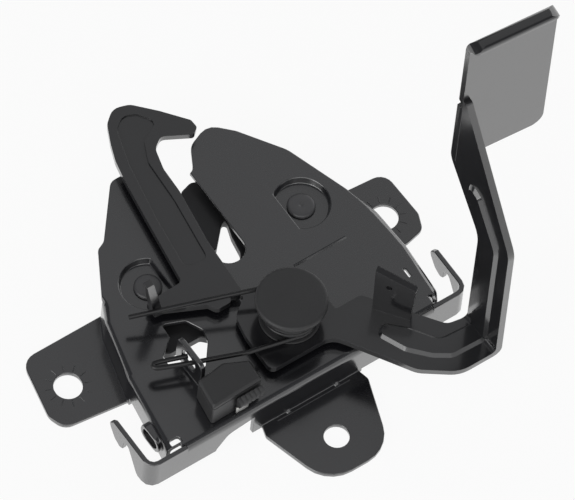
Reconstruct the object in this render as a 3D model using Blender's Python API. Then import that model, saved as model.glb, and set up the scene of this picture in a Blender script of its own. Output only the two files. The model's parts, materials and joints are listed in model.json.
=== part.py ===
# A bonnet latch: a pressed bracket with a claw and a pawl behind its face, and a safety hook
# in front of it that is one stamping with its hand lever.
#
# The shapes are drawn in millimetres on the bracket's face. x runs along its lower edge, y
# towards the mouth of the striker slot, and n stands off the face towards the front. The
# left rivet is at x = y = 0. place() moves a finished shape into the part's own frame, whose
# origin is on the back of the lower mounting tab, and turns it into metres.

import bpy
import bmesh
from math import acos, atan2, cos, hypot, pi, radians, sin, tan
from mathutils import Matrix, Vector

MILLIMETRE = 0.001
SMOOTH_UNDER = radians(32)
NEARLY_STRAIGHT = radians(1)

# Sheets and clearances
SHEET = 2.0
LEVER_SHEET = 3.0
BACK_SHEET = 2.0
CLAW_SHEET = 4.4
GAP = 0.3

# Bracket
DEPTH = 18.0
BEND = 3.0
BOTTOM = -71.0
SIDE_WALL_DEPTH = 13.0
LOWER_WALL_DEPTH = 16.0
FOOT_SEAT = (30.0, -80.0)
SLOT_X = 36.4
SLOT_HALF = 6.8
SLOT_END_Y = -3.5
POCKET_RADIUS = 12.0
POCKET_FLAT = 7.5
POCKET_DEPTH = 3.0
EAR_HOLE = 5.9
FOOT_HOLE = 5.2
LEFT_EAR_HOLE_AT = (-47.5, -14.4)
RIGHT_EAR_HOLE_AT = (103.5, -18.0)
FOOT_HOLE_AT = (29.8, -91.1)
LEFT_HOOK_EAR_X = -47.5
RIGHT_HOOK_EAR_X = 107.0
HOOK_EAR_TIP = -42.4
TAB_LEVEL = -9.6
SLIT = (89.9, -53.5, 90.9, -49.2)
SIDE_WALL_CUT_Y = -34.0
CORNER_NOTCHES = (-30.5, 93.6)
GUSSETS_X = (20.0, 43.3)
GUSSET_HALF = 0.8
GUSSET_REACH = 2.2

# Pivots
PAWL_PIVOT = (0.0, 0.0)
CLAW_PIVOT = (73.0, -2.0)
HOOK_PIVOT = (36.4, -46.0)
RIVET_RADIUS = 4.0
RIVET_HEAD_RADIUS = 5.8
RIVET_HEAD = 1.3
RIVET_TAIL_RADIUS = 6.0
RIVET_TAIL = 1.1
STUD_RADIUS = 4.5
STUD_HEAD_RADIUS = 9.0
STUD_HEAD = 2.0
CAP_RADIUS = 14.75
CAP_THICKNESS = 3.2
CAP_TOP = 22.0
BUSH_RADIUS = 9.0
BUSH_SPIGOT = 7.0
BUSH_FLANGE_RADIUS = 12.4
BUSH_FLANGE = 0.9
WASHER_RADIUS = 11.0
WASHER_THICKNESS = 2.3

# Hook and lever
LEVER_LOW = 3.0
LEVER_BEAD = 1.4
STRIP_X = 97.0
FOLD_START = 94.0
STRIP_FRONT = -102.5
PADDLE_WIDTH = 40.0
PADDLE_LOW = 98.0
PADDLE_TOP = 184.5
PADDLE_Y = -60.5
PADDLE_TURN = radians(-4.5)
LIP = 5.5
LIP_RADIUS = 5.0
LIP_SPREAD = 0.2
LIP_EDGE = 2.2
PADDLE_SIDE_RADIUS = 6.0
PADDLE_TOP_RADIUS = 5.5
FOLD_RADIUS = 4.5
FOLD_INNER_RADIUS = 2.0
PANEL_RECESS = 0.8
LEVER_HOLE_AT = (139.0, -60.5)
LEVER_HOLE = 2.2
FLANGE_HOLE_AT = (71.6, -63.3, 22.7)
FLANGE_HOLE = 1.3
CABLE_HOLE_AT = (9.0, -57.6)
CABLE_HOLE = 1.7

# Springs
HOOK_WIRE = 1.0
HOOK_COIL_RADIUS = 10.6
HOOK_COIL_TURNS = 4
HOOK_COIL_PITCH = 2.1
SMALL_WIRE = 0.6
SMALL_COIL_RADIUS = 7.4
SPACER_RADIUS = 6.2
SPRING_ROOM = 3.6
TAB_ANCHOR_X = -8.6
HAIRPIN = [
    (12.5, -51.2), (TAB_ANCHOR_X, -43.2), (-20, -38.6), (-22.4, -37.2), (-22.8, -35.9), (-21.4, -35.1),
    (TAB_ANCHOR_X, -39.6),
]
HOOK_COIL_START = radians(248)
HOOK_COIL_END = radians(66.6)
UPPER_LEG_END = (-18.6, -12.6, 9.0)
CLAW_SPRING_ENDS = ((52, -14), (62, 22))
PAWL_SPRING_ENDS = ((-8, 16), (24, -6))

# Bonnet switch
SWITCH_TOP = 14.0
SWITCH_LID = 2.6
SWITCH_WALL = 1.4
PLUNGER_RADIUS = 1.8
PLUNGER_FLANGE = 0.9
SWITCH_WIRE = 0.3
SWITCH_COIL_RADIUS = 2.2
SWITCH_COIL_TURNS = 3.5
PLUNGER_PLACE = (4.0, -60.4)
SWITCH_TERMINAL = ((-4.5, -68.4, 0.8), (1.5, -67.6, 5.0))
GRIP_LEFT = -4.2
GRIP_LENGTH = 12.6
GRIP_RADIUS = 2.9
GRIP_Y = -67.7
GRIP_LEVEL = 8.6

# Levels, measured along n from the bracket's face
POCKET_FLOOR = -POCKET_DEPTH
CUP_BACK = POCKET_FLOOR - SHEET
CLAW_TOP = CUP_BACK - 1.0
CLAW_BACK = CLAW_TOP - CLAW_SHEET
BACK_PLATE_FRONT = CLAW_BACK - SPRING_ROOM
BACK_PLATE_BACK = BACK_PLATE_FRONT - BACK_SHEET
LEVER_TOP = LEVER_LOW + LEVER_SHEET
CAP_LOW = CAP_TOP - CAP_THICKNESS

# Outlines are corners (x, y) or (x, y, radius), anticlockwise seen from the front.
TOWERS = [
    (92, -6, 8), (82.5, 21.6, 14), (70, 40, 9), (61.5, 48.5, 7), (50.5, 44, 7), (44.4, 33, 4),
    (28, 36, 4), (24, 47.5, 3), (14, 47.5, 4.5), (-4, 25.8, 4), (-8, 24, 3), (-19, 5.2, 3),
]
LEFT_SIDE = [(-20.5, 2, 3), (-24, -5, 12), (-31, -31, 20), (-36, -63, 6), (-38, BOTTOM, 2)]
RIGHT_SIDE = [(92, BOTTOM, 2), (96.4, -64, 4), (98, -40, 30), (97, -20, 20)]
LEFT_EAR = [(-17.5, 5.3), (-56.5, 5.3, 7), (-62, -22, 8), (-59.5, -29.5, 6), (-31, -33)]
RIGHT_EAR = [(90.5, 0.8), (95.5, -31.5), (104.5, -33, 3), (113.5, -31, 4), (116.3, -24, 5), (115.5, -1, 6)]
FOOT = [(54, -69.2), (8, -69.2), (6, -76, 3), (15, -107, 15), (44.8, -107, 15), (55.7, -76, 3)]
WINDOW = [
    (-6, -18.5, 1), (-6.5, -25, 1), (-14, -31, 1), (-14, -37.5, 1), (-6.8, -37.5, 0.6),
    (-6.8, -43.5, 1), (-2, -43.5, 1.5), (5.2, -34.5, 3), (6.5, -29, 3), (3, -22, 3),
]
WALLS_END = [(-60, 4), (60, 4), (60, 1), (120, 1), (120, 70), (-60, 70)]
TAB = [(-50.5, -1.5), (-33, -1.5), (-33, 15, 3), (-50.5, 15, 3)]
TAB_WINDOW = [(-46, 4, 2.5), (-37, 4, 2.5), (-37, 12, 2.5), (-46, 12, 2.5)]
SIDE_BOSS = [(-62.5, -10.6, 3.5), (-50, -10.6, 3.5), (-50, -2.2, 3.5), (-62.5, -2.2, 3.5)]
SIDE_BOSS_HOLE = [(-61, -9.4, 2.9), (-51.5, -9.4, 2.9), (-51.5, -3.6, 2.9), (-61, -3.6, 2.9)]
CORNER_HOLE = [(-34, -66.7), (-29.3, -66.7), (-29.3, -64, 2.3), (-34, -64, 2.3)]
LOWER_NOTCH = [(-15.6, -21), (-14.4, -15, 3), (-9, -8, 5), (3, -6), (3, -21)]
HOOK_EAR_CUT = [
    (-38, -20), (-38, 1), (-46.4, 1), (-44.6, -0.7, 1), (-42.6, -3, 2), (-43.4, -5.6, 3), (-46.8, -10.2, 3),
    (-50.6, -11.8, 1.5),
    (-52.4, -10.4, 0.8), (-52.8, -5, 1.5), (-55.6, -4, 1.5), (-58, -8, 6), (-62, -15, 5), (-68, -20),
]
BACK_PLATE = [
    (-16, -7, 5), (13, -9, 3), (27, -25, 5), (54, -27, 5), (64, -17, 5), (87, -14, 5), (85, 8, 8),
    (68, 28, 8), (54, 31, 5), (46, 25, 3), (27, 24, 3), (20, 33, 5), (6, 27, 6), (-15, 6, 6),
]
CLAW = [
    (46.6, 14, 1.5), (34.7, 1.6, 1), (31.6, 1.2, 1), (31, 10, 4), (34, 26, 5), (37.5, 31, 3),
    (43, 32.6, 3), (48.2, 30.4, 5), (58, 20, 8), (72, 12.6, 9), (83.5, 10, 8), (86.5, -4, 9),
    (81, -15.5, 8), (70, -19, 6), (64, -30, 4), (54.6, -36, 1.2), (50.6, -33.4, 0.8), (53.4, -28.2, 1.2),
    (46, -22.6, 2), (38.5, -15, 2), (38.5, -9.5, 2), (41.6, -5, 3), (42.9, 3, 6),
]
PAWL = [
    (46.2, -27.6, 0.8), (20, -9.5, 8), (11, 3, 6), (5, 11, 6), (-7, 10, 6), (-13, 1, 6),
    (-14, -22, 5), (-9, -28.5, 3), (6, -28.5, 2), (9.5, -32, 3), (9.5, -50, 4), (2, -56, 3), (2, -63, 3),
    (15, -63, 4), (16.5, -50, 8), (16.5, -32, 5), (23, -27, 6), (36, -35, 3), (42.4, -33.6, 0.8),
]
HOOK = [
    (55.4, 47, 1.6), (55.2, 51, 2), (46.8, 61.4, 14), (38.5, 70.2, 6), (31.5, 72.4, 6), (25.6, 67.5, 6),
    (21.6, 59, 12), (18.8, 51.5, 12), (16.8, 42, 20), (13.6, 20, 20), (9.6, -9, 2), (-7.8, -9.6, 0.8),
    (-7.8, -15.6, 0.6), (-4, -16, 1), (12.4, -23.6, 1), (14.4, -27.4, 2.6), (21, -27.4, 2.6), (22, -25.2, 0.6),
    (27.2, -27.4, 1), (18.6, -34, 6), (16.8, -44, 6), (16.5, -62, 3), (46, -62, 8), (52, -71, 10),
    (66, -93, 12), (80, -103, 14), (FOLD_START, -103), (FOLD_START, -83),
    (88, -82, 5), (79, -70, 5), (66.5, -52.5, 3), (54.4, -52.5, 1), (54.4, -28, 17.5), (27.6, -28, 1),
    (29, 1, 20), (32.6, 26, 20), (33, 38, 8), (35.5, 47.6, 5), (40.5, 51.2, 3), (52.4, 44.8, 1.6),
]
HOOK_PANEL = [
    (33, 67.6, 5), (27.4, 63, 4), (22.5, 47, 12), (17.6, 20, 16), (14.6, -4, 2.5), (24.6, -6, 2.5),
    (28.6, 24, 16), (29.6, 44, 8), (34, 53.6, 4), (43.5, 57.6, 3), (38.5, 65, 3),
]
LEVER_RIDGE = [
    (61, -71.5, 3), (66.4, -67.6, 3), (73.4, -74.5, 6), (81.5, -86, 5), (STRIP_X + 1.6, -87),
    (STRIP_X + 1.6, -96.8), (81, -96.2, 6), (74, -91.6, 6), (66.5, -83.5, 8),
]
STRIP = [
    (-103, LEVER_LOW), (-83, LEVER_LOW), (-83, 68, 14), (-60, 98, 10), (-60, 138, 5), (-64, 146, 2),
    (STRIP_FRONT, 79, 14),
]
STRIP_RIDGE = [
    (-96.8, LEVER_TOP - 1.6), (-86, LEVER_TOP - 1.6), (-85.4, 68, 10), (-73.5, 88, 4), (-73.8, 98, 4),
    (-81.8, 95.5, 4), (-96.4, 74, 10),
]
POST_FOOT = [(-7.8, -15.6), (-3.9, -15.6), (-3.9, -12), (-7.8, -12)]
POST_HEAD = [(-12.5, -14.9), (-9.3, -14.9), (-9.3, -12), (-12.5, -12)]
POST_TOP = 29.6
FLANGE_FOOT = [(66.6, -60.3), (76.1, -72.7), (78.3, -71), (68.8, -58.6)]
FLANGE_HEAD = [(68.0, -57.9), (78.1, -72.1), (80.4, -70.4), (70.3, -56.2)]
FLANGE_TOPS = (31.0, 25.5, 25.5, 31.0)
SWITCH = [(-15.3, -67.1, 1), (8.7, -66.2, 1), (9.3, -56.6, 1), (-0.6, -51.9, 2), (-13.4, -53.4, 1)]


def rounded(corners, steps=3):
    """Points of an outline whose corners (x, y, radius) are rounded with arcs."""
    points = []
    for index, corner in enumerate(corners):
        here = Vector(corner[:2])
        radius = corner[2] if len(corner) > 2 else 0.0
        if radius <= 0.0:
            points.append(here)
            continue
        to_last = Vector(corners[index - 1][:2]) - here
        to_next = Vector(corners[(index + 1) % len(corners)][:2]) - here
        half = to_last.angle(to_next) / 2
        reach = min(radius / tan(half), 0.48 * to_last.length, 0.48 * to_next.length)
        radius = reach * tan(half)
        centre = here + (to_last.normalized() + to_next.normalized()).normalized() * hypot(reach, radius)
        start = here + to_last.normalized() * reach - centre
        end = here + to_next.normalized() * reach - centre
        sweep = pi - 2 * half
        for step in range(steps + 1):
            part = step / steps
            if sweep < NEARLY_STRAIGHT:
                points.append(centre + start.lerp(end, part))
            else:
                points.append(centre + (start * sin((1 - part) * sweep) + end * sin(part * sweep)) / sin(sweep))
    return points


def runs_anticlockwise(corners):
    area = 0.0
    for last, here in zip(corners[-1:] + corners[:-1], corners):
        area += last[0] * here[1] - here[0] * last[1]
    return area > 0


def moved_in(corners, distance, free=()):
    """Corners of an outline moved inside it by a distance, apart from the free ones."""
    result = []
    facing = 1 if runs_anticlockwise(corners) else -1
    for index, corner in enumerate(corners):
        here = Vector(corner[:2])
        radius = corner[2] if len(corner) > 2 else 0.0
        if index in free:
            result.append((here.x, here.y, radius))
            continue
        back = (here - Vector(corners[index - 1][:2])).normalized()
        ahead = (Vector(corners[(index + 1) % len(corners)][:2]) - here).normalized()
        inward = Vector((-back.y - ahead.y, back.x + ahead.x)).normalized() * facing
        turn = (back.x * ahead.y - back.y * ahead.x) * facing
        share = max(inward.dot(Vector((-back.y, back.x)) * facing), 0.4)
        here = here + inward * (distance / share)
        if radius > 0:
            radius = max(radius - distance, 0.25) if turn > 0 else radius + distance
        result.append((here.x, here.y, radius))
    return result


def circle(centre, radius, steps=32):
    return [
        Vector((centre[0] + radius * cos(2 * pi * k / steps), centre[1] + radius * sin(2 * pi * k / steps)))
        for k in range(steps)
    ]


def new_object(name, shape):
    """An object from a bmesh whose faces are turned outwards."""
    bmesh.ops.recalc_face_normals(shape, faces=shape.faces)
    mesh = bpy.data.meshes.new(name)
    shape.to_mesh(mesh)
    shape.free()
    thing = bpy.data.objects.new(name, mesh)
    bpy.context.scene.collection.objects.link(thing)
    return thing


def loft(rings, name="loft"):
    """A closed solid through rings of equally many points."""
    shape = bmesh.new()
    loops = [[shape.verts.new(point) for point in ring] for ring in rings]
    count = len(rings[0])
    for low, high in zip(loops, loops[1:]):
        for k in range(count):
            shape.faces.new((low[k], low[(k + 1) % count], high[(k + 1) % count], high[k]))
    shape.faces.new(list(reversed(loops[0])))
    shape.faces.new(loops[-1])
    return new_object(name, shape)


def on_axes(outline, level, axes):
    """Points of an outline drawn on the first two axes, at a level on the third."""
    ring = []
    for flat in outline:
        values = dict(zip(axes, (flat[0], flat[1], level)))
        ring.append([values[axis] for axis in "xyn"])
    return ring


def prism(outline, low, high, axes="xyn"):
    """An outline drawn on the first two axes and extruded from low to high along the third."""
    return loft([on_axes(outline, low, axes), on_axes(outline, high, axes)])


def box(low, high):
    corners = [(low[0], low[1]), (high[0], low[1]), (high[0], high[1]), (low[0], high[1])]
    return prism(corners, low[2], high[2])


def turned(profile, centre, steps=40, name="turned"):
    """A solid turned round the axis through centre, from a closed profile of (radius, n)."""
    shape = bmesh.new()
    rings = []
    for radius, level in profile:
        if radius == 0:
            rings.append([shape.verts.new((centre[0], centre[1], level))])
        else:
            rings.append([shape.verts.new((at.x, at.y, level)) for at in circle(centre, radius, steps)])
    count = len(rings)
    for index, ring in enumerate(rings):
        after = rings[(index + 1) % count]
        if len(ring) == 1 and len(after) == 1:
            continue
        for k in range(steps):
            last = (k + 1) % steps
            quad = [ring[k % len(ring)], ring[last % len(ring)], after[last % len(after)], after[k % len(after)]]
            shape.faces.new(list(dict.fromkeys(quad)))
    return new_object(name, shape)


def combine(target, tool, operation):
    """The target joined with a tool, cut by it or kept inside it. The tool is used up."""
    step = target.modifiers.new(operation, "BOOLEAN")
    step.operation = operation
    step.object = tool
    step.solver = "EXACT"
    graph = bpy.context.evaluated_depsgraph_get()
    result = bpy.data.meshes.new_from_object(target.evaluated_get(graph))
    target.modifiers.clear()
    old = target.data
    target.data = result
    bpy.data.meshes.remove(old)
    bpy.data.objects.remove(tool)
    return target


def keep_inside(target, tool):
    return combine(target, tool, "INTERSECT")


def join(target, *tools):
    for tool in tools:
        combine(target, tool, "UNION")
    return target


def cut(target, *tools):
    for tool in tools:
        combine(target, tool, "DIFFERENCE")
    return target


def turn_upright(thing, angle, at):
    """A shape turned round a line along n through a point on the face."""
    centre = Matrix.Translation((at[0], at[1], 0))
    thing.data.transform(centre @ Matrix.Rotation(angle, 4, "Z") @ centre.inverted())
    return thing


def material(name, colour, roughness, metallic):
    finish = bpy.data.materials.new(name)
    finish.use_nodes = True
    shader = finish.node_tree.nodes["Principled BSDF"]
    shader.inputs["Base Color"].default_value = (*colour, 1)
    shader.inputs["Roughness"].default_value = roughness
    shader.inputs["Metallic"].default_value = metallic
    return finish


def place(thing, name, pivot, finish):
    """A finished shape named, set in the part's frame in metres and given its origin and finish."""
    thing.name = name
    thing.data.name = name
    to_frame = Matrix.Translation((-FOOT_SEAT[0], -FOOT_SEAT[1], DEPTH))
    origin = Vector((pivot[0] - FOOT_SEAT[0], pivot[1] - FOOT_SEAT[1], DEPTH))
    shift = Matrix.Translation(-origin) @ to_frame
    thing.data.transform(Matrix.Scale(MILLIMETRE, 4) @ shift)
    thing.location = origin * MILLIMETRE
    thing.data.materials.clear()
    thing.data.materials.append(material(name, *finish))
    thing.data.shade_smooth()
    thing.data.set_sharp_from_angle(angle=SMOOTH_UNDER)
    return thing


def wire(points, radius, name):
    """A round wire with closed ends through points."""
    line = bpy.data.curves.new(name, "CURVE")
    line.dimensions = "3D"
    line.bevel_depth = radius
    line.bevel_resolution = 2
    line.use_fill_caps = True
    spline = line.splines.new("POLY")
    spline.points.add(len(points) - 1)
    for point, at in zip(spline.points, points):
        point.co = (*at, 1)
    curve = bpy.data.objects.new(name, line)
    bpy.context.scene.collection.objects.link(curve)
    mesh = bpy.data.meshes.new_from_object(curve.evaluated_get(bpy.context.evaluated_depsgraph_get()))
    bpy.data.objects.remove(curve)
    shape = bmesh.new()
    shape.from_mesh(mesh)
    bmesh.ops.remove_doubles(shape, verts=shape.verts, dist=0.01)
    bpy.data.meshes.remove(mesh)
    return new_object(name, shape)


def tray():
    """The bracket's face with walls all round and a rounded bend where they meet it."""
    corners = TOWERS + LEFT_SIDE + RIGHT_SIDE
    free = range(len(TOWERS))

    def shell(inset, level, radius):
        rings = []
        for bottom in (-DEPTH - (1 if inset else 0), level - radius):
            rings.append((bottom, inset))
        for step in (1, 2, 3):
            angle = step * pi / 6
            rings.append((level - radius + radius * sin(angle), inset + radius * (1 - cos(angle))))
        flats = []
        for height, distance in rings:
            outline = rounded(moved_in(corners, distance, free if not inset else ()))
            flats.append([(at.x, at.y, height) for at in outline])
        return loft(flats)

    return cut(shell(0, 0, BEND), shell(SHEET, -SHEET, BEND - SHEET))


def ridge(outline, base, height, slope, axes="xyn"):
    """A low rib with sloping sides, its outline sunk a little into the sheet that carries it."""
    foot = rounded(outline)
    crest = rounded(moved_in(outline, slope))
    sunk = base - 0.4 * height
    return loft([on_axes(foot, sunk, axes), on_axes(foot, base, axes), on_axes(crest, base + height, axes)])


def flat_sided_circle(centre, radius, flat, side, steps=28):
    """A circle cut off by a chord, which lies on the given side (1 for +x, -1 for -x)."""
    start = acos(flat / radius)
    points = []
    for k in range(steps + 1):
        angle = start + (2 * pi - 2 * start) * k / steps
        points.append((centre[0] + side * radius * cos(angle), centre[1] + radius * sin(angle)))
    return points


def pocket(centre, side, spread, low, high):
    """A tapering block in the shape of a rivet's pocket, spread wider by a wall."""
    rings = []
    for level, taper in ((low, 0.8), (high, 0.0)):
        outline = flat_sided_circle(centre, POCKET_RADIUS + spread - taper, POCKET_FLAT + spread - taper, side)
        rings.append([(x, y, level) for x, y in outline])
    return loft(rings)


def hook_ear(bend_x, inner_x, side, shift):
    """The lower wall carried past the face and turned up into a hooked ear."""
    inside = bend_x - side * SHEET
    tip = HOOK_EAR_TIP + shift
    outline = [
        (inner_x, BOTTOM), (bend_x, BOTTOM, BEND + SHEET), (bend_x, tip),
        (inside, tip), (inside, BOTTOM + SHEET, BEND), (inner_x, BOTTOM + SHEET),
    ]
    ear = prism(rounded(outline), -LOWER_WALL_DEPTH, 0)
    below = [(corner[0] + shift, *corner[1:]) for corner in HOOK_EAR_CUT]
    return cut(ear, prism(rounded(below), inside - 4, inside + 4, "ynx"))


def bracket():
    body = tray()
    below = -DEPTH - 2
    outside = BOTTOM - 1
    corner = BOTTOM + SHEET + 1.6
    cut(
        body,
        prism(WALLS_END, below, -SHEET),
        box((-50, corner, below), (-20, SIDE_WALL_CUT_Y, -SIDE_WALL_DEPTH)),
        box((85, corner, below), (110, SIDE_WALL_CUT_Y, -SIDE_WALL_DEPTH)),
        box((-60, outside, below), (-2, corner, -LOWER_WALL_DEPTH)),
        box((56, outside, below), (110, corner, -LOWER_WALL_DEPTH)),
        prism(rounded(LOWER_NOTCH), outside, corner, "xny"),
        box((-45, corner - 1.9, below), (CORNER_NOTCHES[0], corner, 1)),
        box((CORNER_NOTCHES[1], corner - 1.9, below), (101, corner, 1)),
    )
    join(
        body,
        prism(rounded(LEFT_EAR, 5), -DEPTH, -DEPTH + SHEET),
        prism(rounded(RIGHT_EAR, 5), -DEPTH, -DEPTH + SHEET),
        prism(rounded(FOOT, 5), -DEPTH, -DEPTH + SHEET),
        hook_ear(LEFT_HOOK_EAR_X, -29, -1, 0),
        hook_ear(RIGHT_HOOK_EAR_X, 90, 1, -4),
        pocket(PAWL_PIVOT, 1, SHEET, CUP_BACK, -SHEET / 2),
        pocket(CLAW_PIVOT, -1, SHEET, CUP_BACK, -SHEET / 2),
        prism(rounded(TAB), TAB_LEVEL, TAB_LEVEL + SHEET, "ynx"),
        prism(rounded(SIDE_BOSS), -37.4, -33.4, "ynx"),
    )
    bend = SHEET - DEPTH
    for gusset_x in GUSSETS_X:
        corners = [(BOTTOM + 1, bend + GUSSET_REACH), (BOTTOM + 1, bend - 1), (BOTTOM - GUSSET_REACH, bend - 1)]
        join(body, prism(corners, gusset_x - GUSSET_HALF, gusset_x + GUSSET_HALF, "ynx"))
    slot = [
        (SLOT_X - SLOT_HALF, 60), (SLOT_X - SLOT_HALF, SLOT_END_Y - SLOT_HALF, SLOT_HALF - 0.1),
        (SLOT_X + SLOT_HALF, SLOT_END_Y - SLOT_HALF, SLOT_HALF - 0.1), (SLOT_X + SLOT_HALF, 60),
    ]
    cut(
        body,
        prism(rounded(slot, 8), -4, 1),
        prism(rounded(WINDOW), -4, 1),
        pocket(PAWL_PIVOT, 1, 0, POCKET_FLOOR, 1),
        pocket(CLAW_PIVOT, -1, 0, POCKET_FLOOR, 1),
        prism(circle(PAWL_PIVOT, RIVET_RADIUS + GAP), -8, 0),
        prism(circle(CLAW_PIVOT, RIVET_RADIUS + GAP), -8, 0),
        prism(circle(HOOK_PIVOT, STUD_RADIUS + GAP), -4, 1),
        prism(circle(LEFT_EAR_HOLE_AT, EAR_HOLE), -DEPTH - 2, -DEPTH + SHEET + 1),
        prism(circle(RIGHT_EAR_HOLE_AT, EAR_HOLE), -DEPTH - 2, -DEPTH + SHEET + 1),
        prism(circle(FOOT_HOLE_AT, FOOT_HOLE), -DEPTH - 2, -DEPTH + SHEET + 1),
        prism(rounded(CORNER_HOLE), -4, 1),
        prism(rounded(TAB_WINDOW), TAB_LEVEL - 1, TAB_LEVEL + SHEET + 1, "ynx"),
        prism(rounded(SIDE_BOSS_HOLE), -40, -28, "ynx"),
        box((SLIT[0], SLIT[1], -4), (SLIT[2], SLIT[3], 1)),
        box((91.2, -68, -4), (93.7, -64.6, 1)),
        prism(circle(PLUNGER_PLACE, PLUNGER_RADIUS + GAP, 16), -4, 1),
    )
    return body


def back_plate():
    plate = prism(rounded(BACK_PLATE, 4), BACK_PLATE_BACK, BACK_PLATE_FRONT)
    mouth = [(27.6, 60), (27.6, -9.5, 8), (47.5, -9.5, 8), (47.5, 60)]
    return cut(
        plate,
        prism(rounded(mouth, 5), BACK_PLATE_BACK - 1, BACK_PLATE_FRONT + 1),
        prism(circle(PAWL_PIVOT, RIVET_RADIUS + GAP), BACK_PLATE_BACK - 1, BACK_PLATE_FRONT + 1),
        prism(circle(CLAW_PIVOT, RIVET_RADIUS + GAP), BACK_PLATE_BACK - 1, BACK_PLATE_FRONT + 1),
    )


def flat_lever(outline, pivot):
    """The claw or the pawl: a thick sheet with a hole for its rivet."""
    lever = prism(rounded(outline, 4), CLAW_BACK, CLAW_TOP)
    return cut(lever, prism(circle(pivot, RIVET_RADIUS + GAP), CLAW_BACK - 1, CLAW_TOP + 1))


def pawl():
    lever = flat_lever(PAWL, PAWL_PIVOT)
    return cut(lever, prism(circle(CABLE_HOLE_AT, CABLE_HOLE, 16), CLAW_BACK - 1, CLAW_TOP + 1))


def rivet(centre):
    """A rivet from its domed head in the pocket to its tail behind the back plate."""
    head = POCKET_FLOOR + GAP
    tail = BACK_PLATE_BACK - GAP
    profile = [
        (0, head + RIVET_HEAD - 0.3), (0.6, head + RIVET_HEAD), (RIVET_HEAD_RADIUS - 0.7, head + RIVET_HEAD),
        (RIVET_HEAD_RADIUS, head + RIVET_HEAD - 0.6), (RIVET_HEAD_RADIUS, head), (RIVET_RADIUS, head),
        (RIVET_RADIUS, tail), (RIVET_TAIL_RADIUS, tail), (RIVET_TAIL_RADIUS - 0.6, tail - RIVET_TAIL),
        (0, tail - RIVET_TAIL),
    ]
    return turned(profile, centre)


def spacer(centre):
    """A collar round a rivet, between the back plate and the lever that turns on the rivet."""
    low = BACK_PLATE_FRONT + GAP
    high = CLAW_BACK - GAP
    inner = RIVET_RADIUS + GAP
    return turned([(inner, low), (SPACER_RADIUS, low), (SPACER_RADIUS, high), (inner, high)], centre)


def coil(centre, radius, start, turns, low, pitch, steps=16):
    """Points of a helix that begins at an angle and climbs by its pitch each turn."""
    points = []
    count = round(steps * abs(turns))
    for k in range(count + 1):
        angle = start + 2 * pi * turns * k / count
        level = low + pitch * turns * k / count
        points.append((centre[0] + radius * cos(angle), centre[1] + radius * sin(angle), level))
    return points


def tangent_angle(centre, radius, end, leaving):
    """Where an anticlockwise coil meets a straight leg that leaves to an end or comes from it."""
    away = Vector(end) - Vector(centre)
    lead = acos(radius / away.length)
    return atan2(away.y, away.x) + (-lead if leaving else lead)


def small_spring(centre, first_end, last_end, name):
    """A torsion spring round a spacer with a straight leg off each end of its coil."""
    low = BACK_PLATE_FRONT + GAP + SMALL_WIRE
    high = CLAW_BACK - GAP - SMALL_WIRE
    start = tangent_angle(centre, SMALL_COIL_RADIUS, first_end, False)
    end = tangent_angle(centre, SMALL_COIL_RADIUS, last_end, True)
    turns = 1 + ((end - start) / (2 * pi)) % 1
    helix = coil(centre, SMALL_COIL_RADIUS, start, turns, low, (high - low) / turns)
    return wire([(*first_end, low)] + helix + [(*last_end, helix[-1][2])], SMALL_WIRE, name)


def paddle():
    """The lever's thumb pad: a flat sheet whose upper edge curls over into a lip."""
    back = PADDLE_Y
    front = PADDLE_Y - LEVER_SHEET
    tip = PADDLE_Y - LIP - 1
    under = PADDLE_TOP - LEVER_SHEET
    far = STRIP_X + PADDLE_WIDTH
    profile = [
        (back, PADDLE_LOW), (back, PADDLE_TOP, FOLD_RADIUS), (tip, PADDLE_TOP, LIP_EDGE), (tip, under, 0.6),
        (front, under, FOLD_INNER_RADIUS), (front, PADDLE_LOW),
    ]
    sheet = prism(rounded(profile, 4), STRIP_X - 1, far + 1, "ynx")
    face = [
        (PADDLE_LOW - 1, STRIP_X), (PADDLE_LOW, far, PADDLE_SIDE_RADIUS), (PADDLE_TOP, far, PADDLE_TOP_RADIUS),
        (PADDLE_TOP, STRIP_X, PADDLE_TOP_RADIUS),
    ]
    low_x, high_x = STRIP_X - LIP_SPREAD, far + LIP_SPREAD
    lip = [(low_x, back + 1), (low_x, tip, LIP_RADIUS), (high_x, tip, LIP_RADIUS), (high_x, back + 1)]
    keep_inside(sheet, prism(rounded(face, 5), tip - 1, back + 1, "nxy"))
    keep_inside(sheet, prism(rounded(lip, 5), PADDLE_LOW - 2, PADDLE_TOP + 1))
    return turn_upright(sheet, PADDLE_TURN, (STRIP_X + LEVER_SHEET / 2, PADDLE_Y - LEVER_SHEET / 2))


def folded_strip():
    """The lever's tall strip, with the round fold at its foot and a little of the flat beyond it."""
    outer = STRIP_X + LEVER_SHEET
    start = FOLD_START - 2
    profile = [
        (start, LEVER_LOW), (outer, LEVER_LOW, FOLD_RADIUS), (outer, PADDLE_TOP), (STRIP_X, PADDLE_TOP),
        (STRIP_X, LEVER_TOP, FOLD_INNER_RADIUS), (start, LEVER_TOP),
    ]
    sheet = prism(rounded(profile, 4), STRIP_FRONT - 8, PADDLE_Y + 10, "xny")
    return keep_inside(sheet, prism(rounded(STRIP, 4), start - 1, outer + 1, "ynx"))


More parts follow.
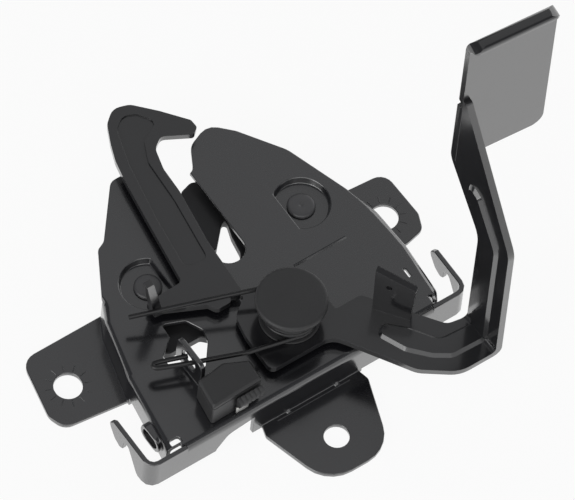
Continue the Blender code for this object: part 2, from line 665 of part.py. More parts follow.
def hook_lever():
    """The safety hook, its hub, its spring post and the hand lever, all one stamping."""
    body = prism(rounded(HOOK, 4), LEVER_LOW, LEVER_TOP)
    foot = LEVER_LOW + 1
    post = loft([on_axes(POST_FOOT, foot, "xyn"), on_axes(POST_HEAD, POST_TOP, "xyn")])
    crest = [(*corner, top) for corner, top in zip(FLANGE_HEAD, FLANGE_TOPS)]
    flange = loft([on_axes(FLANGE_FOOT, foot, "xyn"), crest])
    across = Vector(FLANGE_FOOT[1]) - Vector(FLANGE_FOOT[0])
    x, y, level = FLANGE_HOLE_AT
    drill = prism(circle((x, level), FLANGE_HOLE, 16), y - 2 * LEVER_SHEET, y + 2 * LEVER_SHEET, "xny")
    cut(flange, turn_upright(drill, atan2(across.y, across.x), (x, y)))
    join(
        body,
        folded_strip(),
        paddle(),
        post,
        flange,
        ridge(LEVER_RIDGE, LEVER_TOP, LEVER_BEAD, 1.3),
        ridge(STRIP_RIDGE, STRIP_X, -LEVER_BEAD, 1.3, "ynx"),
    )
    return cut(
        body,
        prism(circle(HOOK_PIVOT, BUSH_SPIGOT + GAP), LEVER_LOW - 1, LEVER_TOP + 1),
        prism(rounded(HOOK_PANEL), LEVER_TOP - PANEL_RECESS, LEVER_TOP + 1),
        prism(circle(LEVER_HOLE_AT, LEVER_HOLE, 12), STRIP_X - 1, STRIP_X + LEVER_SHEET + 1, "nyx"),
    )


def pivot_stud():
    """The stud under the cap: a head behind the face and a shank through the hook's bush."""
    head_top = -SHEET - GAP
    top = CAP_TOP - 1.2 - GAP
    profile = [
        (0, head_top - STUD_HEAD), (STUD_HEAD_RADIUS - 0.6, head_top - STUD_HEAD),
        (STUD_HEAD_RADIUS, head_top - STUD_HEAD + 0.6), (STUD_HEAD_RADIUS, head_top),
        (STUD_RADIUS, head_top), (STUD_RADIUS, top - 0.5), (STUD_RADIUS - 0.5, top), (0, top),
    ]
    return turned(profile, HOOK_PIVOT)


def pivot_washer():
    inner = STUD_RADIUS + GAP
    high = GAP + WASHER_THICKNESS
    return turned([(inner, GAP), (WASHER_RADIUS, GAP), (WASHER_RADIUS, high), (inner, high)], HOOK_PIVOT)


def pivot_bush():
    """A flanged sleeve: its spigot carries the hook's hub and its barrel carries the spring."""
    inner = STUD_RADIUS + GAP
    flange_low = LEVER_TOP + GAP
    flange_high = flange_low + BUSH_FLANGE
    high = CAP_LOW - GAP
    profile = [
        (inner, LEVER_LOW - 0.1), (BUSH_SPIGOT, LEVER_LOW - 0.1), (BUSH_SPIGOT, flange_low),
        (BUSH_FLANGE_RADIUS, flange_low), (BUSH_FLANGE_RADIUS, flange_high),
        (BUSH_RADIUS, flange_high), (BUSH_RADIUS, high), (inner, high),
    ]
    return turned(profile, HOOK_PIVOT)


def pivot_cap():
    """The round cap pressed on the stud's end, hollow where the stud enters it."""
    socket = STUD_RADIUS + GAP
    profile = [
        (socket, CAP_LOW), (CAP_RADIUS - 0.8, CAP_LOW), (CAP_RADIUS, CAP_LOW + 0.6),
        (CAP_RADIUS, CAP_TOP - 1.3), (CAP_RADIUS - 0.4, CAP_TOP - 0.5), (CAP_RADIUS - 1.3, CAP_TOP),
        (0, CAP_TOP), (0, CAP_TOP - 1.2), (socket, CAP_TOP - 1.2),
    ]
    return turned(profile, HOOK_PIVOT, 56)


def hook_spring():
    """The hook's spring: one leg bears on the post, the other is a hairpin in the bracket's tab."""
    low = LEVER_TOP + GAP + BUSH_FLANGE + GAP + HOOK_WIRE
    hairpin = [(*HAIRPIN[0], low)] + on_axes(HAIRPIN[1:], low - 0.2, "xyn")
    turns = HOOK_COIL_TURNS + (HOOK_COIL_END - HOOK_COIL_START) / (2 * pi)
    helix = coil(HOOK_PIVOT, HOOK_COIL_RADIUS, HOOK_COIL_START, turns, low, HOOK_COIL_PITCH)
    return wire(hairpin + helix + [UPPER_LEG_END], HOOK_WIRE, "hook_spring")


def switch_housing():
    """The switch's body: an open box that seats on the bracket's face, its lid apart."""
    high = SWITCH_TOP - SWITCH_LID - GAP
    body = prism(rounded(SWITCH), GAP, high)
    cut(body, prism(rounded(moved_in(SWITCH, SWITCH_WALL)), GAP + SWITCH_WALL, high + 1))
    return cut(body, prism(circle(PLUNGER_PLACE, PLUNGER_RADIUS + GAP, 16), -1, GAP + SWITCH_WALL + 1))


def switch_cover():
    """The lid, with its left and lower edges chamfered."""
    low = SWITCH_TOP - SWITCH_LID
    rings = []
    for level, inset in ((low, 0), (SWITCH_TOP - 1, 0), (SWITCH_TOP, 1)):
        rings.append([(at.x, at.y, level) for at in rounded(moved_in(SWITCH, inset))])
    return loft(rings)


def switch_plunger():
    """The button under the switch, which reaches through the face to the pawl's arm."""
    floor = GAP + SWITCH_WALL + GAP
    profile = [
        (0, CLAW_TOP + 0.4), (PLUNGER_RADIUS - 0.6, CLAW_TOP + 0.4), (PLUNGER_RADIUS, CLAW_TOP + 1),
        (PLUNGER_RADIUS, floor), (3, floor), (3, floor + PLUNGER_FLANGE), (1, floor + PLUNGER_FLANGE),
        (1, floor + PLUNGER_FLANGE + 1.1), (0, floor + PLUNGER_FLANGE + 1.1),
    ]
    return turned(profile, PLUNGER_PLACE, 20)


def switch_spring():
    low = GAP + SWITCH_WALL + GAP + PLUNGER_FLANGE + GAP + SWITCH_WIRE
    high = SWITCH_TOP - SWITCH_LID - GAP - SWITCH_WIRE
    pitch = (high - low) / SWITCH_COIL_TURNS
    helix = coil(PLUNGER_PLACE, SWITCH_COIL_RADIUS, 0, SWITCH_COIL_TURNS, low, pitch, 12)
    return wire(helix, SWITCH_WIRE, "switch_spring")


def switch_contact(left, reach):
    """A strip contact that stands in the housing and bends over towards the plunger."""
    low = GAP + SWITCH_WALL + GAP
    corners = [(left, low), (left + 0.8, low), (left + 0.8, 8), (left + reach, 8), (left + reach, 8.8), (left, 8.8)]
    return prism(corners, -63.5, -60.5, "xny")


def switch_grip():
    """The half-round ribbed grip along the switch's lower side."""
    profile = []
    ribs = 6
    pitch = GRIP_LENGTH / ribs
    for rib in range(ribs):
        left = GRIP_LEFT + rib * pitch
        for x, radius in ((0, GRIP_RADIUS), (0.6 * pitch, GRIP_RADIUS), (0.62 * pitch, GRIP_RADIUS - 0.5)):
            profile.append((left + x, radius))
    rings = []
    for x, radius in profile:
        arc = [(radius * cos(pi + pi * k / 10), radius * sin(pi + pi * k / 10)) for k in range(11)]
        rings.append([(x, GRIP_Y + flat[1], GRIP_LEVEL + flat[0]) for flat in arc])
    return loft(rings)


STEEL = ((0.022, 0.022, 0.024), 0.42, 0.6)
GLOSS = ((0.012, 0.012, 0.013), 0.25, 0.2)
ZINC = ((0.55, 0.56, 0.58), 0.35, 1.0)
SPRING = ((0.02, 0.02, 0.022), 0.35, 0.8)
PLASTIC = ((0.02, 0.02, 0.022), 0.5, 0.0)
TIN = ((0.6, 0.6, 0.58), 0.3, 1.0)


def build():
    place(bracket(), "main_bracket", FOOT_SEAT, STEEL)
    place(back_plate(), "back_plate", FOOT_SEAT, STEEL)
    place(flat_lever(CLAW, CLAW_PIVOT), "claw", CLAW_PIVOT, STEEL)
    place(pawl(), "pawl", PAWL_PIVOT, STEEL)
    for side, centre, ends in (
        ("claw", CLAW_PIVOT, CLAW_SPRING_ENDS),
        ("pawl", PAWL_PIVOT, PAWL_SPRING_ENDS),
    ):
        place(rivet(centre), side + "_rivet", centre, STEEL)
        place(spacer(centre), side + "_spacer", centre, ZINC)
        place(small_spring(centre, *ends, side + "_spring"), side + "_spring", centre, SPRING)
    place(hook_lever(), "hook_lever", HOOK_PIVOT, GLOSS)
    place(pivot_stud(), "pivot_stud", HOOK_PIVOT, ZINC)
    place(pivot_washer(), "pivot_washer", HOOK_PIVOT, PLASTIC)
    place(pivot_bush(), "pivot_bush", HOOK_PIVOT, PLASTIC)
    place(pivot_cap(), "pivot_cap", HOOK_PIVOT, PLASTIC)
    place(hook_spring(), "hook_spring", HOOK_PIVOT, SPRING)
    place(switch_housing(), "switch_housing", PLUNGER_PLACE, PLASTIC)
    place(switch_cover(), "switch_cover", PLUNGER_PLACE, PLASTIC)
    place(switch_plunger(), "switch_plunger", PLUNGER_PLACE, PLASTIC)
    place(switch_spring(), "switch_spring", PLUNGER_PLACE, SPRING)
    for side, left, reach in (("left", -12, 4), ("right", -5, 3)):
        place(switch_contact(left, reach), "switch_contact_" + side, PLUNGER_PLACE, TIN)
    place(box(*SWITCH_TERMINAL), "switch_terminal", PLUNGER_PLACE, TIN)
    place(switch_grip(), "switch_grip", PLUNGER_PLACE, PLASTIC)


for thing in list(bpy.data.objects):
    bpy.data.objects.remove(thing)
build()
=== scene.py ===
# The bonnet latch as it is photographed: dark coated pressings, a glossy lever and a moulded cap
# on a white table, between five soft lamps.
#
# Pieces are drawn in millimetres on the bracket's face, as in the part's source: x along its
# lower edge, y towards the mouth of the striker slot, n off the face. in_frame() turns a point
# into the frame's metres.

import json
from math import atan2, acos, cos, pi, radians, sin

import bpy
import bmesh
from mathutils import Matrix, Vector

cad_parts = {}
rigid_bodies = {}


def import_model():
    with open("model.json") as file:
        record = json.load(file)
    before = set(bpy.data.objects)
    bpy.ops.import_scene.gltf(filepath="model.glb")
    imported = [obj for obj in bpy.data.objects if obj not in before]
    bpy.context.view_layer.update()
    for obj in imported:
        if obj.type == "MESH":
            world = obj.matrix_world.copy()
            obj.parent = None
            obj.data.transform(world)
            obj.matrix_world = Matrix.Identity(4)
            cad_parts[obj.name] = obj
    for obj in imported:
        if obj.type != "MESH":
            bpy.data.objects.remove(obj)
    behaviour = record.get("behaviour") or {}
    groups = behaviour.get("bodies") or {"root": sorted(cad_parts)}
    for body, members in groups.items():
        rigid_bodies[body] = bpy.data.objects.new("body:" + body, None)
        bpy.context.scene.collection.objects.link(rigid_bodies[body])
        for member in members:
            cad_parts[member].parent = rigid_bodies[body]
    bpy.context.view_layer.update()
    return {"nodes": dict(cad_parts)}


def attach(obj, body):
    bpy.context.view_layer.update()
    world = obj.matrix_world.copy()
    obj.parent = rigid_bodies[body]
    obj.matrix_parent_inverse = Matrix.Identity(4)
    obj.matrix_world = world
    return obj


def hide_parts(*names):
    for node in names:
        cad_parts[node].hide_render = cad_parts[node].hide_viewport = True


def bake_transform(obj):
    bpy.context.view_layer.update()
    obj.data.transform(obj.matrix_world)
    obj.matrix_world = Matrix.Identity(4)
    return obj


MM = 0.001
FOOT_SEAT = (30.0, -80.0)
FACE_HEIGHT = 18.0
BRACKET, HOOK, PLUNGER = "bracket", "hook", "plunger"

# Centres on the face
PAWL_PIVOT = (0.0, 0.0)
CLAW_PIVOT = (73.0, -2.0)
HOOK_PIVOT = (36.4, -46.0)
PLUNGER_PLACE = (4.0, -60.4)
LEFT_EAR_HOLE = (-47.5, -14.4)
RIGHT_EAR_HOLE = (103.5, -18.0)
EAR_LEVEL = -16.0

# How far a pressed mark reaches into its sheet, and the steps of a turned piece
SUNK = 0.1
TURN_STEPS = 96

# Bends sharper than these are edges, on drawn pieces and on pieces from the frame. Faces that
# bend less than the last are joined.
EDGE_ANGLE = radians(36)
CREASE_ANGLE = radians(34)
FLAT_ANGLE = radians(0.6)

# The photograph's view
PHOTO_RIGHT = Vector((0.8217, -0.566, 0.0612))
PHOTO_UP = Vector((0.4636, 0.7274, 0.5068))
TO_CAMERA = Vector((-0.3313, -0.3880, 0.8601))
PHOTO_CENTRE = (55.5, -17.2, 0.0)
CAMERA_DISTANCE = 6.0
LENS = 940.0

# How far a coat's roughness varies, and the light edge colour: rubbed coat and painted highlight
COAT_SPREAD = 0.06
RUBBED_AND_HIGHLIGHT_COLOUR = (0.2, 0.2, 0.21, 1)

TABLE_HALF = 12.0
TABLE_DROP = 0.0005
TABLE_WHITE = 0.86
TABLE_GLOW = 0.93
ROOM_TINT = (0.93, 0.95, 1.0, 1)
ROOM_LIGHT = 0.12
# Name, direction seen from the latch, distance and size in metres, watts
LAMPS = (
    ("key", (0.26, 0.56, 0.80), 1.6, 1.2, 1.1),
    ("left", (-1.0, -0.1, 0.42), 1.8, 1.2, 10.0),
    ("front", (0.25, -1.0, 0.38), 1.8, 1.4, 3.5),
    ("right", (1.0, 0.35, 0.5), 1.8, 1.2, 6.0),
    ("fill", (-0.45, -0.50, 0.74), 2.2, 2.6, 18.0),
)


def in_frame(x, y, n):
    """A point of the face, in millimetres, as a point of the frame in metres."""
    return Vector((x - FOOT_SEAT[0], y - FOOT_SEAT[1], n + FACE_HEIGHT)) * MM


# Shader nodes

def node(tree, kind, values=(), **settings):
    """A shader node with its settings and socket values."""
    made = tree.nodes.new(kind)
    for key, value in settings.items():
        setattr(made, key, value)
    for socket, value in dict(values).items():
        made.inputs[socket].default_value = value
    return made


def link(tree, source, output, target, socket):
    """Joins one node's output to another's input."""
    tree.links.new(source.outputs[output], target.inputs[socket])


def new_group(name, inputs, outputs):
    """An empty shader node group: inputs are (name, kind, value), outputs (name, kind)."""
    group = bpy.data.node_groups.new(name, "ShaderNodeTree")
    for label, kind, value in inputs:
        socket = group.interface.new_socket(label, in_out="INPUT", socket_type=kind)
        if value is not None:
            socket.default_value = value
    for label, kind in outputs:
        group.interface.new_socket(label, in_out="OUTPUT", socket_type=kind)
    return group, group.nodes.new("NodeGroupInput"), group.nodes.new("NodeGroupOutput")


def coat_group():
    """A sprayed coat: cloudy colour, cloudy roughness and a fine peel in its surface."""
    group, given, result = new_group(
        "sprayed_coat",
        [
            ("Colour", "NodeSocketColor", None), ("Cloud", "NodeSocketFloat", 0.3),
            ("Roughness", "NodeSocketFloat", 0.4), ("Spread", "NodeSocketFloat", 0.06),
            ("Peel", "NodeSocketFloat", 0.05), ("Edge", "NodeSocketFloat", 0.0003),
        ],
        [
            ("Colour", "NodeSocketColor"), ("Roughness", "NodeSocketFloat"),
            ("Normal", "NodeSocketVector"),
        ],
    )
    place = node(group, "ShaderNodeTexCoord")
    cloud = node(group, "ShaderNodeTexNoise", {"Scale": 70.0, "Detail": 4.0, "Roughness": 0.6})
    grain = node(group, "ShaderNodeTexNoise", {"Scale": 900.0, "Detail": 2.0})
    for texture in (cloud, grain):
        link(group, place, "Object", texture, "Vector")
    centred = node(group, "ShaderNodeMath", {1: 0.5}, operation="SUBTRACT")
    link(group, cloud, "Fac", centred, 0)
    shade = node(group, "ShaderNodeMath", {2: 1.0}, operation="MULTIPLY_ADD")
    link(group, centred, 0, shade, 0)
    link(group, given, "Cloud", shade, 1)
    tinted = node(group, "ShaderNodeVectorMath", operation="SCALE")
    link(group, given, "Colour", tinted, 0)
    link(group, shade, 0, tinted, "Scale")
    rough = node(group, "ShaderNodeMath", operation="MULTIPLY_ADD")
    link(group, centred, 0, rough, 0)
    link(group, given, "Spread", rough, 1)
    link(group, given, "Roughness", rough, 2)
    peel = node(group, "ShaderNodeBump", {"Distance": 0.0004})
    link(group, grain, "Fac", peel, "Height")
    link(group, given, "Peel", peel, "Strength")
    eased = node(group, "ShaderNodeBevel", samples=4)
    link(group, given, "Edge", eased, "Radius")
    link(group, eased, "Normal", peel, "Normal")
    link(group, tinted, 0, result, "Colour")
    link(group, rough, 0, result, "Roughness")
    link(group, peel, "Normal", result, "Normal")
    return group


def edge_group():
    """A mask of the outer edges, where a coat is thin and rubbed and a highlight is painted, broken up
    by noise.
    """
    group, given, result = new_group(
        "rubbed_and_highlit_edges",
        [("Width", "NodeSocketFloat", 0.0005), ("Amount", "NodeSocketFloat", 0.5)],
        [("Mask", "NodeSocketFloat")],
    )
    place = node(group, "ShaderNodeTexCoord")
    surface = node(group, "ShaderNodeNewGeometry")
    eased = node(group, "ShaderNodeBevel", samples=4)
    link(group, given, "Width", eased, "Radius")
    facing = node(group, "ShaderNodeVectorMath", operation="DOT_PRODUCT")
    link(group, eased, "Normal", facing, 0)
    link(group, surface, "Normal", facing, 1)
    turned = node(group, "ShaderNodeMapRange", {"From Min": 0.995, "From Max": 0.86})
    link(group, facing, "Value", turned, "Value")
    broken = node(group, "ShaderNodeTexNoise", {"Scale": 260.0, "Detail": 3.0})
    link(group, place, "Object", broken, "Vector")
    kept = node(group, "ShaderNodeMapRange", {"From Min": 0.35, "From Max": 0.65})
    link(group, broken, "Fac", kept, "Value")
    both = node(group, "ShaderNodeMath", operation="MULTIPLY")
    link(group, turned, "Result", both, 0)
    link(group, kept, "Result", both, 1)
    scaled = node(group, "ShaderNodeMath", operation="MULTIPLY")
    link(group, both, 0, scaled, 0)
    link(group, given, "Amount", scaled, 1)
    link(group, scaled, 0, result, "Mask")
    return group


def finish(name, colour, roughness, cloud=0.3, peel=0.05, metallic=0.0, specular=0.5, rubbed_and_highlit=0.0,
           coat=0.0, coat_roughness=0.1, coat_ior=1.8, edge=0.3):
    """A coated or bare finish of one of the latch's pieces."""
    made = bpy.data.materials.new(name)
    made.use_nodes = True
    tree = made.node_tree
    shader = tree.nodes["Principled BSDF"]
    shader.inputs["Metallic"].default_value = metallic
    shader.inputs["Specular IOR Level"].default_value = specular
    shader.inputs["Coat Weight"].default_value = coat
    shader.inputs["Coat Roughness"].default_value = coat_roughness
    shader.inputs["Coat IOR"].default_value = coat_ior
    sprayed = node(tree, "ShaderNodeGroup", node_tree=GROUPS["coat"])
    sprayed.inputs["Colour"].default_value = (*colour, 1)
    settings = {
        "Cloud": cloud, "Roughness": roughness, "Spread": COAT_SPREAD, "Peel": peel, "Edge": edge * MM,
    }
    for socket, value in settings.items():
        sprayed.inputs[socket].default_value = value
    link(tree, sprayed, "Roughness", shader, "Roughness")
    link(tree, sprayed, "Normal", shader, "Normal")
    # Outer edges get a lighter colour: partly rubbed coat, partly a painted highlight on the edges.
    if rubbed_and_highlit:
        edges = node(tree, "ShaderNodeGroup", node_tree=GROUPS["edge"])
        edges.inputs["Amount"].default_value = rubbed_and_highlit
        worn_and_highlit = node(tree, "ShaderNodeMix", data_type="RGBA")
        worn_and_highlit.inputs["B"].default_value = RUBBED_AND_HIGHLIGHT_COLOUR
        link(tree, edges, "Mask", worn_and_highlit, "Factor")
        link(tree, sprayed, "Colour", worn_and_highlit, "A")
        link(tree, worn_and_highlit, "Result", shader, "Base Color")
    else:
        link(tree, sprayed, "Colour", shader, "Base Color")
    return made


# Meshes

def new_piece(name, mesh, body, material, stands_for=()):
    """A piece from a bmesh drawn in millimetres on the face, put in the frame and on its body."""
    mesh.transform(Matrix.Translation(in_frame(0, 0, 0)) @ Matrix.Scale(MM, 4))
    bmesh.ops.recalc_face_normals(mesh, faces=mesh.faces)
    data = bpy.data.meshes.new(name)
    mesh.to_mesh(data)
    mesh.free()
    piece = bpy.data.objects.new(name, data)
    bpy.context.scene.collection.objects.link(piece)
    data.materials.append(material)
    data.shade_smooth()
    data.set_sharp_from_angle(angle=EDGE_ANGLE)
    if body:
        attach(piece, body)
    if stands_for:
        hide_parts(*stands_for)
    return piece


def spun(profile, centre):
    """A bmesh turned round the line along n through centre, from a closed (radius, n) profile."""
    mesh = bmesh.new()
    line = [mesh.verts.new((centre[0] + radius, centre[1], n)) for radius, n in profile]
    edges = [mesh.edges.new(pair) for pair in zip(line, line[1:] + line[:1])]
    bmesh.ops.spin(
        mesh, geom=line + edges, cent=(*centre, 0), axis=(0, 0, 1), angle=2 * pi, steps=TURN_STEPS,
        use_merge=True,
    )
    bmesh.ops.remove_doubles(mesh, verts=mesh.verts, dist=0.001)
    bmesh.ops.dissolve_degenerate(mesh, edges=mesh.edges, dist=0.001)
    return mesh


def softened(points, rounds=3):
    """A path with its corners cut off again and again, so that its bends are round."""
    path = [Vector(point) for point in points]
    for _ in range(rounds):
        cut = [path[0]]
        for here, after in zip(path, path[1:]):
            cut += [here.lerp(after, 0.25), here.lerp(after, 0.75)]
        path = cut + [path[-1]]
    return path


def helix(centre, radius, start, turns, low, pitch, steps=48):
    """Points along a coil that rises round the line along n through centre."""
    count = round(steps * turns)
    points = []
    for k in range(count + 1):
        angle = start + 2 * pi * turns * k / count
        points.append(Vector((
            centre[0] + radius * cos(angle),
            centre[1] + radius * sin(angle),
            low + pitch * turns * k / count,
        )))
    return points


def wire(path, radius):
    """A bmesh of a round wire along a path, its ends closed."""
    line = bpy.data.curves.new("wire", "CURVE")
    line.dimensions = "3D"
    line.bevel_depth = radius
    line.bevel_resolution = 4
    line.use_fill_caps = True
    spline = line.splines.new("POLY")
    spline.points.add(len(path) - 1)
    for point, at in zip(spline.points, path):
        point.co = (*at, 1)
    carrier = bpy.data.objects.new("wire", line)
    bpy.context.scene.collection.objects.link(carrier)
    depsgraph = bpy.context.evaluated_depsgraph_get()
    made = bpy.data.meshes.new_from_object(carrier.evaluated_get(depsgraph))
    bpy.data.objects.remove(carrier)
    mesh = bmesh.new()
    mesh.from_mesh(made)
    bpy.data.meshes.remove(made)
    bmesh.ops.remove_doubles(mesh, verts=mesh.verts, dist=0.002)
    return mesh


def bar(mesh, start, end, width, low, high, crest=0.5):
    """Adds a low bar along the face from start to end, its top narrowed to a crest."""
    start, end = Vector(start), Vector(end)
    along = end - start
    turn = atan2(along.y, along.x)
    middle = (start + end) / 2
    added = bmesh.ops.create_cube(mesh, size=1.0)["verts"]
    for vertex in added:
        if vertex.co.z > 0:
            vertex.co.y *= crest
    bmesh.ops.scale(mesh, verts=added, vec=(along.length, width, high - low))
    bmesh.ops.rotate(mesh, verts=added, cent=(0, 0, 0), matrix=Matrix.Rotation(turn, 3, "Z"))
    bmesh.ops.translate(mesh, verts=added, vec=(middle.x, middle.y, (low + high) / 2))


# The latch's own pieces

def even_shading():
    """A geometry group that joins a pressing's loose faces and shades them smooth up to its edges."""
    group = bpy.data.node_groups.new("even_shading", "GeometryNodeTree")
    group.interface.new_socket("Geometry", in_out="INPUT", socket_type="NodeSocketGeometry")
    group.interface.new_socket("Geometry", in_out="OUTPUT", socket_type="NodeSocketGeometry")
    given, result = group.nodes.new("NodeGroupInput"), group.nodes.new("NodeGroupOutput")
    joined = node(group, "GeometryNodeMergeByDistance", {"Distance": 0.00001})
    plain = node(group, "GeometryNodeRemoveAttribute", {"Name": "custom_normal"})
    smooth = node(group, "GeometryNodeSetShadeSmooth", domain="FACE")
    creased = node(group, "GeometryNodeSetShadeSmooth", {"Shade Smooth": False}, domain="EDGE")
    angle = node(group, "GeometryNodeInputMeshEdgeAngle")
    sharp = node(
        group, "FunctionNodeCompare", {1: CREASE_ANGLE}, data_type="FLOAT", operation="GREATER_THAN",
    )
    chain = [given, joined, plain, smooth, creased, result]
    for before, after in zip(chain, chain[1:]):
        link(group, before, "Geometry", after, "Geometry")
    link(group, angle, "Unsigned Angle", sharp, 0)
    link(group, sharp, "Result", creased, "Selection")
    return group


def dress(name, material, edge):
    """A piece from the frame with its finish, its edges rounded by so many millimetres."""
    part = frame["nodes"][name]
    part.data.materials.clear()
    part.data.materials.append(material)
    shading = part.modifiers.new("even_shading", "NODES")
    shading.node_group = GROUPS["shading"]
    if edge:
        flats = part.modifiers.new("flats", "DECIMATE")
        flats.decimate_type = "DISSOLVE"
        flats.angle_limit = FLAT_ANGLE
        rounding = part.modifiers.new("edge", "BEVEL")
        rounding.width = edge * MM
        rounding.segments = 2
        rounding.limit_method = "ANGLE"
        rounding.angle_limit = EDGE_ANGLE
        rounding.use_clamp_overlap = False
    weights = part.modifiers.new("weights", "WEIGHTED_NORMAL")
    weights.keep_sharp = True
    return part


def cap():
    """The moulded cap: a flat disc with a round rim and a hollow back."""
    low, top, radius = 18.8, 22.0, 14.75
    hollow, roof = 4.8, top - 1.2
    profile = [
        (hollow, low), (radius - 0.7, low), (radius - 0.2, low + 0.2), (radius, low + 0.7),
        (radius, top - 1.3), (radius - 0.1, top - 0.85), (radius - 0.38, top - 0.45),
        (radius - 0.8, top - 0.15), (radius - 1.3, top - 0.02), (radius - 2.0, top),
        (0, top), (0, roof), (hollow, roof),
    ]
    return new_piece(
        "cap", spun(profile, HOOK_PIVOT), BRACKET, FINISH["moulding"], ["pivot_cap"],
    )


def rivet_head(name, centre):
    """A rivet from its dimpled head in the pocket to its pressed tail."""
    head, tail = -2.7, -16.3
    crown, end = head + 1.3, tail - 1.1
    shank, head_radius, tail_radius = 4.0, 5.8, 6.0
    profile = [
        (0, head + 0.95), (0.35, head + 1.0), (0.75, head + 1.24), (1.1, crown), (4.6, crown),
        (5.2, head + 1.18), (5.6, head + 0.9), (head_radius, head + 0.5), (head_radius, head),
        (shank, head), (shank, tail), (tail_radius, tail), (5.95, tail - 0.5), (5.4, tail - 1.0),
        (4.6, end), (0, end),
    ]
    return new_piece(
        name + "_head", spun(profile, centre), BRACKET, FINISH["rivet"], [name],
    )


def hook_spring():
    """The hook's spring: a hairpin in the tab, a coil round the bush and a leg on the post."""
    low, coil_radius, pitch, wire_radius = 8.5, 10.6, 2.1, 1.0
    tab = low - 0.2
    hairpin = softened([
        (-8.6, -39.6, tab), (-21.4, -35.1, tab), (-22.9, -35.6, tab), (-22.6, -37.4, tab),
        (-20, -38.6, tab), (-8.6, -43.2, tab), (12.5, -51.2, low),
    ])
    start, end = radians(248), radians(66.6)
    coil = helix(HOOK_PIVOT, coil_radius, start, 4 + (end - start) / (2 * pi), low, pitch)
    post = Vector((-18.6, -12.6, 9))
    piece = new_piece(
        "hook_spring_wire", wire(hairpin + coil + [post], wire_radius), None,
        FINISH["spring"], ["hook_spring"],
    )
    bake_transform(piece)
    return piece


def tangent(centre, radius, end, leaving):
    """Where a straight leg meets an anticlockwise coil."""
    away = Vector(end) - Vector(centre)
    lead = acos(radius / away.length)
    return atan2(away.y, away.x) + (-lead if leaving else lead)


def small_spring(name, centre, first, last):
    """A return spring round a rivet's collar, its two legs straight."""
    radius, low, high, wire_radius = 7.4, -13.1, -11.3, 0.6
    start, end = tangent(centre, radius, first, False), tangent(centre, radius, last, True)
    turns = 1 + ((end - start) / (2 * pi)) % 1
    coil = helix(centre, radius, start, turns, low, (high - low) / turns)
    path = [Vector((*first, low))] + coil + [Vector((*last, high))]
    return new_piece(
        name + "_wire", wire(path, wire_radius), BRACKET, FINISH["spring"], [name],
    )


def switch_spring():
    """The button's spring, held by the switch at its top and pressed by the button at its foot."""
    turns, foot, top = 3.5, 3.5, 10.8
    radius, wire_radius, steps = 2.2, 0.3, 24
    coil = helix(PLUNGER_PLACE, radius, 0, turns, foot, (top - foot) / turns, steps)
    piece = new_piece(
        "switch_spring_wire", wire(coil, wire_radius), None, FINISH["spring"],
        ["switch_spring"],
    )
    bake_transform(piece)
    return piece


def bolt_marks(name, centre):
    """Short coined marks pointing at a bolt hole."""
    count, first = 12, radians(10)
    inner, outer, width, crest = 6.8, 9.6, 0.55, 0.3
    low, high = EAR_LEVEL - SUNK, EAR_LEVEL + 0.22
    middle = Vector(centre)
    mesh = bmesh.new()
    for k in range(count):
        angle = first + 2 * pi * k / count
        ray = Vector((cos(angle), sin(angle)))
        bar(mesh, middle + ray * inner, middle + ray * outer, width, low, high, crest)
    return new_piece(name, mesh, BRACKET, FINISH["pressing"])


def pressed_lines():
    """The low pressed lines on the bracket's face and along the lower tab's bend."""
    face_line, face_width, face_height, face_crest = ((54, -24.5), (79, -24.5)), 1.5, 0.45, 0.1
    tab_line, tab_width, tab_height = ((14, -72.6), (49, -72.6)), 0.6, 0.25
    mesh = bmesh.new()
    bar(mesh, *face_line, face_width, -SUNK, face_height, face_crest)
    bar(mesh, *tab_line, tab_width, EAR_LEVEL - SUNK, EAR_LEVEL + tab_height)
    return new_piece("pressed_lines", mesh, BRACKET, FINISH["pressing"])


# The studio

def lamp(name, direction, distance, size, watts):
    """A square soft lamp that hangs in a direction from the latch and shines on it."""
    light = bpy.data.lights.new(name, "AREA")
    light.shape = "SQUARE"
    light.size = size
    light.energy = watts
    made = bpy.data.objects.new(name, light)
    bpy.context.scene.collection.objects.link(made)
    aim = in_frame(*PHOTO_CENTRE)
    made.location = aim + Vector(direction).normalized() * distance
    made.rotation_mode = "QUATERNION"
    made.rotation_quaternion = Vector(direction).normalized().to_track_quat("Z", "Y")
    return made


def table():
    """The white table the latch lies on, which the lens and the gloss both see as plain white."""
    mesh = bmesh.new()
    bmesh.ops.create_grid(mesh, x_segments=1, y_segments=1, size=TABLE_HALF)
    bmesh.ops.translate(mesh, verts=mesh.verts, vec=(0, 0, -TABLE_DROP))
    data = bpy.data.meshes.new("table")
    mesh.to_mesh(data)
    mesh.free()
    top = bpy.data.objects.new("table", data)
    bpy.context.scene.collection.objects.link(top)
    white = bpy.data.materials.new("table_white")
    white.use_nodes = True
    tree = white.node_tree
    matt = tree.nodes["Principled BSDF"]
    matt.inputs["Base Color"].default_value = (TABLE_WHITE, TABLE_WHITE, TABLE_WHITE, 1)
    matt.inputs["Roughness"].default_value = 0.9
    glow = node(tree, "ShaderNodeEmission", {"Color": (1, 1, 1, 1), "Strength": 1.0})
    ray = node(tree, "ShaderNodeLightPath")
    seen = node(tree, "ShaderNodeMath", operation="MAXIMUM")
    link(tree, ray, "Is Camera Ray", seen, 0)
    link(tree, ray, "Is Glossy Ray", seen, 1)
    share = node(tree, "ShaderNodeMath", {1: TABLE_GLOW}, operation="MULTIPLY")
    link(tree, seen, 0, share, 0)
    both = node(tree, "ShaderNodeMixShader")
    link(tree, share, 0, both, "Fac")
    tree.links.new(matt.outputs["BSDF"], both.inputs[1])
    tree.links.new(glow.outputs["Emission"], both.inputs[2])
    link(tree, both, "Shader", tree.nodes["Material Output"], "Surface")
    data.materials.append(white)
    return top


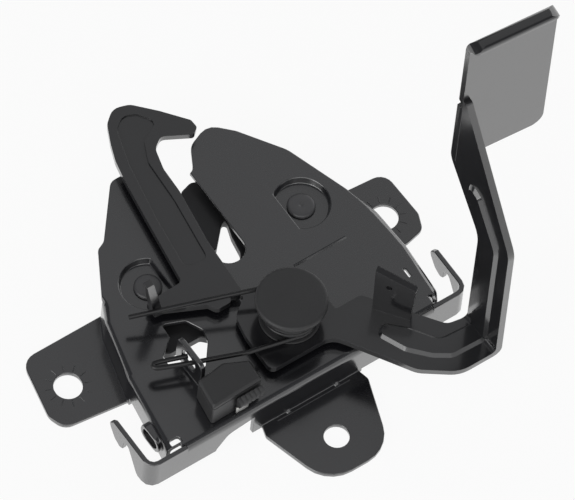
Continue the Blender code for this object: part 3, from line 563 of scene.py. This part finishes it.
def surroundings():
    """A grey room for the light, white where the lens sees past the table."""
    world = bpy.data.worlds.new("studio")
    bpy.context.scene.world = world
    world.use_nodes = True
    tree = world.node_tree
    room = tree.nodes["Background"]
    room.inputs["Color"].default_value = ROOM_TINT
    room.inputs["Strength"].default_value = ROOM_LIGHT
    seen = node(tree, "ShaderNodeBackground", {"Color": (1, 1, 1, 1), "Strength": 1.0})
    ray = node(tree, "ShaderNodeLightPath")
    both = node(tree, "ShaderNodeMixShader")
    link(tree, ray, "Is Camera Ray", both, "Fac")
    tree.links.new(room.outputs["Background"], both.inputs[1])
    tree.links.new(seen.outputs["Background"], both.inputs[2])
    link(tree, both, "Shader", tree.nodes["World Output"], "Surface")


def camera():
    """The photograph's view, from so far away that nothing tapers."""
    lens = bpy.data.cameras.new("camera")
    lens.lens = LENS
    lens.sensor_width = 36.0
    lens.clip_start, lens.clip_end = 0.1, 50.0
    made = bpy.data.objects.new("camera", lens)
    bpy.context.scene.collection.objects.link(made)
    axes = Matrix((PHOTO_RIGHT, PHOTO_UP, TO_CAMERA)).transposed()
    made.rotation_mode = "QUATERNION"
    made.rotation_quaternion = axes.to_quaternion()
    made.location = in_frame(*PHOTO_CENTRE) + TO_CAMERA.normalized() * CAMERA_DISTANCE
    bpy.context.scene.camera = made


for thing in list(bpy.data.objects):
    bpy.data.objects.remove(thing)
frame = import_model()
bpy.context.scene.view_settings.view_transform = "Standard"

GROUPS = {"coat": coat_group(), "edge": edge_group(), "shading": even_shading()}
# The edge amounts below paint outer edges lighter: partly rubbed coat, partly a painted highlight.
FINISH = {
    "pressing": finish(
        "satin_coat", (0.0065, 0.0065, 0.0085), 0.36, rubbed_and_highlit=0.3, coat=1.0,
        coat_roughness=0.16, coat_ior=2.1,
    ),
    "lever": finish(
        "gloss_coat", (0.013, 0.013, 0.0145), 0.30, specular=0.4, peel=0.03, coat=1.0,
        coat_roughness=0.12, coat_ior=1.75, edge=0.5,
    ),
    "latch": finish("dark_steel", (0.05, 0.05, 0.052), 0.36, metallic=0.5, rubbed_and_highlit=0.5),
    "rivet": finish("rivet_coat", (0.075, 0.075, 0.078), 0.36, specular=0.8, rubbed_and_highlit=0.4),
    "spring": finish("spring_coat", (0.014, 0.014, 0.015), 0.30, specular=0.6),
    "zinc": finish("zinc_plate", (0.55, 0.56, 0.58), 0.32, metallic=1.0, cloud=0.2),
    "moulding": finish(
        "moulded_black", (0.046, 0.046, 0.047), 0.42, specular=0.45, cloud=0.15, peel=0.12,
    ),
    "tin": finish("tinned_strip", (0.62, 0.62, 0.60), 0.28, metallic=1.0, cloud=0.15),
}
# Look, rounding of the edges in millimetres, pieces
DRESSING = (
    ("pressing", 0.3, ("main_bracket", "back_plate")),
    ("latch", 0.4, ("claw", "pawl")),
    ("lever", 0, ("hook_lever",)),
    ("zinc", 0, ("claw_spacer", "pawl_spacer", "pivot_stud")),
    ("rivet", 0, ("claw_rivet", "pawl_rivet")),
    ("moulding", 0.2, ("pivot_washer", "pivot_bush", "switch_housing")),
    ("moulding", 0.25, ("switch_cover",)),
    ("moulding", 0, ("switch_plunger", "switch_grip", "pivot_cap")),
    ("tin", 0.1, ("switch_contact_left", "switch_contact_right", "switch_terminal")),
    ("spring", 0, ("hook_spring", "claw_spring", "pawl_spring", "switch_spring")),
)
for look, edge, names in DRESSING:
    for name in names:
        dress(name, FINISH[look], edge)

cap()
rivet_head("claw_rivet", CLAW_PIVOT)
rivet_head("pawl_rivet", PAWL_PIVOT)
hook_spring()
small_spring("claw_spring", CLAW_PIVOT, (52, -14), (62, 22))
small_spring("pawl_spring", PAWL_PIVOT, (-8, 16), (24, -6))
switch_spring()
bolt_marks("left_bolt_marks", LEFT_EAR_HOLE)
bolt_marks("right_bolt_marks", RIGHT_EAR_HOLE)
pressed_lines()

camera()
surroundings()
table()
for settings in LAMPS:
    lamp(*settings)
